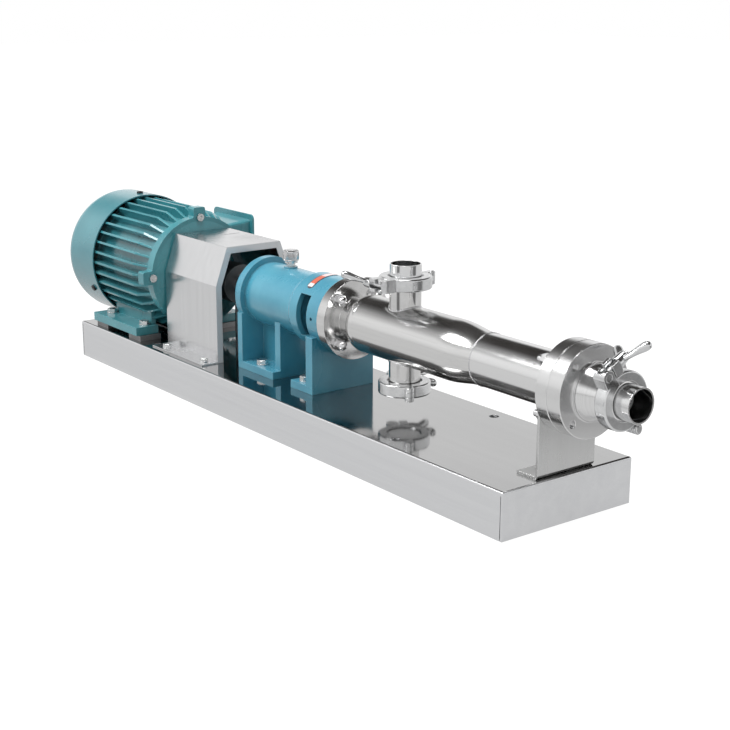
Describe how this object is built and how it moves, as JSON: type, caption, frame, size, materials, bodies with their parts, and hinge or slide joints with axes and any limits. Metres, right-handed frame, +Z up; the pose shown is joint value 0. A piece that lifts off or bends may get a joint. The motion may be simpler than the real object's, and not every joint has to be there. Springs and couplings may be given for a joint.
{
  "type": "progressive cavity pump",
  "caption": "Progressive cavity pump with a foot mounted electric motor, guarded coupling, bearing housing, eccentric screw rotor and clamped pipe ports on a folded stainless base.",
  "frame": {"origin": "centre of the base's underside, on the surface it stands on", "axes": "+X along the shaft line from motor to outlet, +Z up, +Y to the terminal box side"},
  "size_m": [1.0933, 0.2455, 0.2479],
  "materials": {
    "polished_stainless": "mirror polished stainless steel",
    "satin_stainless": "satin brushed stainless sheet",
    "stainless": "machined stainless fasteners",
    "cast_stainless": "tumbled cast stainless",
    "machined_steel": "turned steel",
    "rotor_steel": "ground and hard plated",
    "electrical_steel": "varnished laminations",
    "cast_iron": "as cast, machined bore",
    "zinc": "bright zinc plate",
    "black_steel": "black oxide",
    "motor_paint": "teal enamel on cast aluminium",
    "housing_paint": "light blue enamel on a casting",
    "black_plastic": "moulded",
    "red_elastomer": "moulded polyurethane",
    "stator_rubber": "moulded",
    "seal_carbon": "lapped",
    "white_gasket": "moulded silicone",
    "strip_foil": "printed foil, left bare"
  },
  "bodies": {
    "pump_frame": {"base_braces": "stainless", "base_frame": "polished_stainless", "bearing_cover": "housing_paint", "bearing_housing": "housing_paint", "bracket_bolts": "zinc", "cable_gland": "black_plastic", "casing_nuts": "stainless", "clamp_gaskets": "white_gasket", "coupling_guard": "satin_stainless", "discharge_cover": "polished_stainless", "drain_cap": "polished_stainless", "drain_clamp": "cast_stainless", "end_shield_screws": "zinc", "fan_cover": "motor_paint", "fan_cover_screws": "black_steel", "front_end_shield": "motor_paint", "guard_bolts": "zinc", "housing_bolts": "zinc", "inlet_clamp": "cast_stainless", "inlet_ferrule": "polished_stainless", "label_strip": "strip_foil", "motor_bearings": "machined_steel", "motor_foot_bolts": "zinc", "motor_frame": "motor_paint", "motor_shims": "stainless", "motor_stator_core": "electrical_steel", "oil_cup": "zinc", "outlet_clamp": "cast_stainless", "outlet_ferrule": "polished_stainless", "rear_end_shield": "motor_paint", "seal_seat": "seal_carbon", "shaft_bearings": "machined_steel", "stator_rubber": "stator_rubber", "stator_tube": "polished_stainless", "suction_casing": "polished_stainless", "support_bracket": "satin_stainless", "terminal_box": "motor_paint", "terminal_box_lid": "motor_paint", "tie_bolts": "stainless"},
    "drive_line": {"motor_rotor_core": "electrical_steel", "motor_shaft": "machined_steel", "cooling_fan": "black_plastic", "motor_coupling_hub": "cast_iron", "coupling_spider": "red_elastomer", "pump_coupling_hub": "cast_iron", "shaft_keys": "machined_steel", "pump_shaft": "machined_steel", "seal_ring": "seal_carbon", "seal_spring": "machined_steel"},
    "rotor_orbit": {"rotor_joint_sleeve": "machined_steel"},
    "rotor": {"rotor": "rotor_steel"},
    "coupling_rod": {"coupling_rod": "machined_steel", "rod_pins": "machined_steel"},
    "oil_cup_cap": {"oil_cup_cap": "zinc"},
    "outlet_swing_bolt": {"outlet_clamp_bolt": "cast_stainless"},
    "outlet_wing_nut": {"outlet_wing_nut": "cast_stainless"},
    "inlet_swing_bolt": {"inlet_clamp_bolt": "cast_stainless"},
    "inlet_wing_nut": {"inlet_wing_nut": "cast_stainless"},
    "drain_swing_bolt": {"drain_clamp_bolt": "cast_stainless"},
    "drain_wing_nut": {"drain_wing_nut": "cast_stainless"}
  },
  "joints": [
    {"name": "drive_spin", "type": "hinge", "parent": "pump_frame", "child": "drive_line", "pos_m": [-0.2, 0, 0.151], "axis": [1, 0, 0], "continuous": true},
    {"name": "rotor_orbit", "type": "hinge", "parent": "pump_frame", "child": "rotor_orbit", "pos_m": [0.4, 0, 0.151], "axis": [1, 0, 0], "continuous": true},
    {"name": "rotor_spin", "type": "hinge", "parent": "rotor_orbit", "child": "rotor", "pos_m": [0.4, 0.004, 0.151], "axis": [1, 0, 0], "continuous": true},
    {"name": "rod_spin", "type": "hinge", "parent": "rotor_orbit", "child": "coupling_rod", "pos_m": [0.126, 0, 0.151], "axis": [0.9997, 0.0234, 0], "continuous": true},
    {"name": "oil_cap_turn", "type": "hinge", "parent": "pump_frame", "child": "oil_cup_cap", "pos_m": [-0.043, 0, 0.205], "axis": [0, 0, 1], "continuous": true},
    {"name": "outlet_bolt_swing", "type": "hinge", "parent": "pump_frame", "child": "outlet_swing_bolt", "pos_m": [0.54, -0.02712, 0.17962], "axis": [1, 0, 0], "range_deg": [0, 90]},
    {"name": "outlet_nut_spin", "type": "hinge", "parent": "outlet_swing_bolt", "child": "outlet_wing_nut", "pos_m": [0.54, -0.00397, 0.19353], "axis": [0, 0.8572, 0.515], "continuous": true},
    {"name": "inlet_bolt_swing", "type": "hinge", "parent": "pump_frame", "child": "inlet_swing_bolt", "pos_m": [0.2045, -0.0385, 0.215], "axis": [0, 0, 1], "range_deg": [0, 90]},
    {"name": "inlet_nut_spin", "type": "hinge", "parent": "inlet_swing_bolt", "child": "inlet_wing_nut", "pos_m": [0.1775, -0.0385, 0.215], "axis": [-1, 0, 0], "continuous": true},
    {"name": "drain_bolt_swing", "type": "hinge", "parent": "pump_frame", "child": "drain_swing_bolt", "pos_m": [0.15841, 0.01189, 0.087], "axis": [0, 0, 1], "range_deg": [0, 90]},
    {"name": "drain_nut_spin", "type": "hinge", "parent": "drain_swing_bolt", "child": "drain_wing_nut", "pos_m": [0.17191, 0.03527, 0.087], "axis": [0.5, 0.866, 0], "continuous": true}
  ],
  "couplings": [
    {"joint": "rotor_orbit", "follows": "drive_spin", "ratio": -1},
    {"joint": "rotor_spin", "follows": "drive_spin", "ratio": 2},
    {"joint": "rod_spin", "follows": "drive_spin", "ratio": 2}
  ]
}
